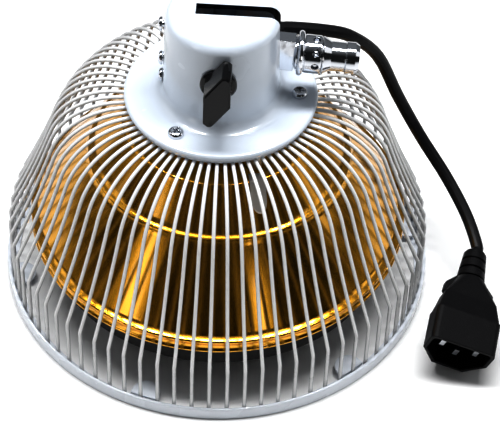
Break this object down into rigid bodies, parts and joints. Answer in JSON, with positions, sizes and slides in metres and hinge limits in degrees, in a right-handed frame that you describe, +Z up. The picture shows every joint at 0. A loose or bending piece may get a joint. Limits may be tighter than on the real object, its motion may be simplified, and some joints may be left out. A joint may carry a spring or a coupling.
{
  "type": "mineral heat lamp head",
  "caption": "Round infrared heat lamp head with a wire guard, gold reflector, white cap, tilting swivel arm fitting, clamp knob and a corded mains plug.",
  "frame": {"origin": "centre of the rim's bottom plane, on the axis of the rim and cap, where the head stands face down", "axes": "+Z up from the rim through the cap; +X towards the arm fitting; -Y towards the clamp knob"},
  "size_m": [0.2028, 0.1746, 0.1348],
  "materials": {
    "rim_ring": "gloss white powder coat",
    "rim_tabs": "gloss white powder coat",
    "cage_wires": "gloss white powder coat",
    "cage_top_ring": "gloss white powder coat",
    "cap_housing": "gloss white powder coat",
    "flange_screws": "bright plated steel",
    "flange_nuts": "zinc plated steel",
    "side_screws": "bright plated steel",
    "pivot_bracket": "zinc plated steel",
    "clamp_bolt": "zinc plated steel",
    "clamp_spacers": "zinc plated steel",
    "friction_washers": "fibre friction washer",
    "reflector_dome": "gold anodised, polished",
    "reflector_clip": "satin",
    "dome_spacers": "satin",
    "dome_screws": "zinc plated steel",
    "mineral_plate": "matt dark mineral face",
    "heating_element": "heat-darkened sheath",
    "element_saddles": "zinc plated steel",
    "insulation_disc": "pressed mineral fibre",
    "backing_plate": "zinc plated steel",
    "plate_studs": "zinc plated steel",
    "plate_nuts": "zinc plated steel",
    "stud_washers": "zinc plated steel",
    "earth_tag": "satin",
    "terminal_block": "unglazed",
    "terminal_screws": "satin",
    "thermal_cutout": "moulded phenolic",
    "element_leads": "silicone sleeve",
    "cord_gland": "moulded nylon",
    "gland_nut": "moulded nylon",
    "supply_cord": "matt black sheath",
    "cord_cores": "insulated core",
    "plug_body": "fine moulded grain",
    "plug_strain_relief": "matt moulded",
    "plug_pins": "nickel plated brass",
    "arm_tongue": "polished plate",
    "swivel_housing": "polished plate",
    "swivel_balls": "polished plate",
    "swivel_spindle": "polished plate",
    "socket_screw": "black oxide",
    "knob_washer": "zinc plated steel",
    "clamp_knob": "gloss black moulding",
    "knob_insert": "turned"
  },
  "bodies": {
    "head": {"rim_ring": "rim_ring", "rim_tabs": "rim_tabs", "cage_wires": "cage_wires", "cage_top_ring": "cage_top_ring", "cap_housing": "cap_housing", "flange_screws": "flange_screws", "flange_nuts": "flange_nuts", "side_screws": "side_screws", "pivot_bracket": "pivot_bracket", "clamp_bolt": "clamp_bolt", "clamp_spacers": "clamp_spacers", "friction_washers": "friction_washers", "reflector_dome": "reflector_dome", "reflector_clip": "reflector_clip", "dome_spacers": "dome_spacers", "dome_screws": "dome_screws", "mineral_plate": "mineral_plate", "heating_element": "heating_element", "element_saddles": "element_saddles", "insulation_disc": "insulation_disc", "backing_plate": "backing_plate", "plate_studs": "plate_studs", "plate_nuts": "plate_nuts", "stud_washers": "stud_washers", "earth_tag": "earth_tag", "terminal_block": "terminal_block", "terminal_screws": "terminal_screws", "thermal_cutout": "thermal_cutout", "element_leads": "element_leads", "cord_gland": "cord_gland", "gland_nut": "gland_nut", "supply_cord": "supply_cord", "cord_cores": "cord_cores", "plug_body": "plug_body", "plug_strain_relief": "plug_strain_relief", "plug_pins": "plug_pins"},
    "arm": {"arm_tongue": "arm_tongue", "swivel_housing": "swivel_housing", "swivel_balls": "swivel_balls"},
    "spindle": {"swivel_spindle": "swivel_spindle", "socket_screw": "socket_screw"},
    "knob_carrier": {"knob_washer": "knob_washer"},
    "knob": {"clamp_knob": "clamp_knob", "knob_insert": "knob_insert"}
  },
  "joints": [
    {"name": "head_tilt", "type": "hinge", "parent": "head", "child": "arm", "pos_m": [0, 0, 0.1175], "axis": [0, -1, 0], "range_deg": [0, 90]},
    {"name": "arm_swivel", "type": "hinge", "parent": "arm", "child": "spindle", "pos_m": [0, 0, 0.1175], "axis": [0.9981, 0, -0.061], "continuous": true},
    {"name": "knob_slide", "type": "slide", "parent": "head", "child": "knob_carrier", "axis": [0, -1, 0], "range_m": [0, 0.00081]},
    {"name": "knob_turn", "type": "hinge", "parent": "knob_carrier", "child": "knob", "pos_m": [0, 0, 0.1175], "axis": [0, -1, 0], "range_deg": [0, 360]}
  ],
  "couplings": [
    {"joint": "knob_slide", "follows": "knob_turn", "m_per_rad": 0.00012732}
  ]
}
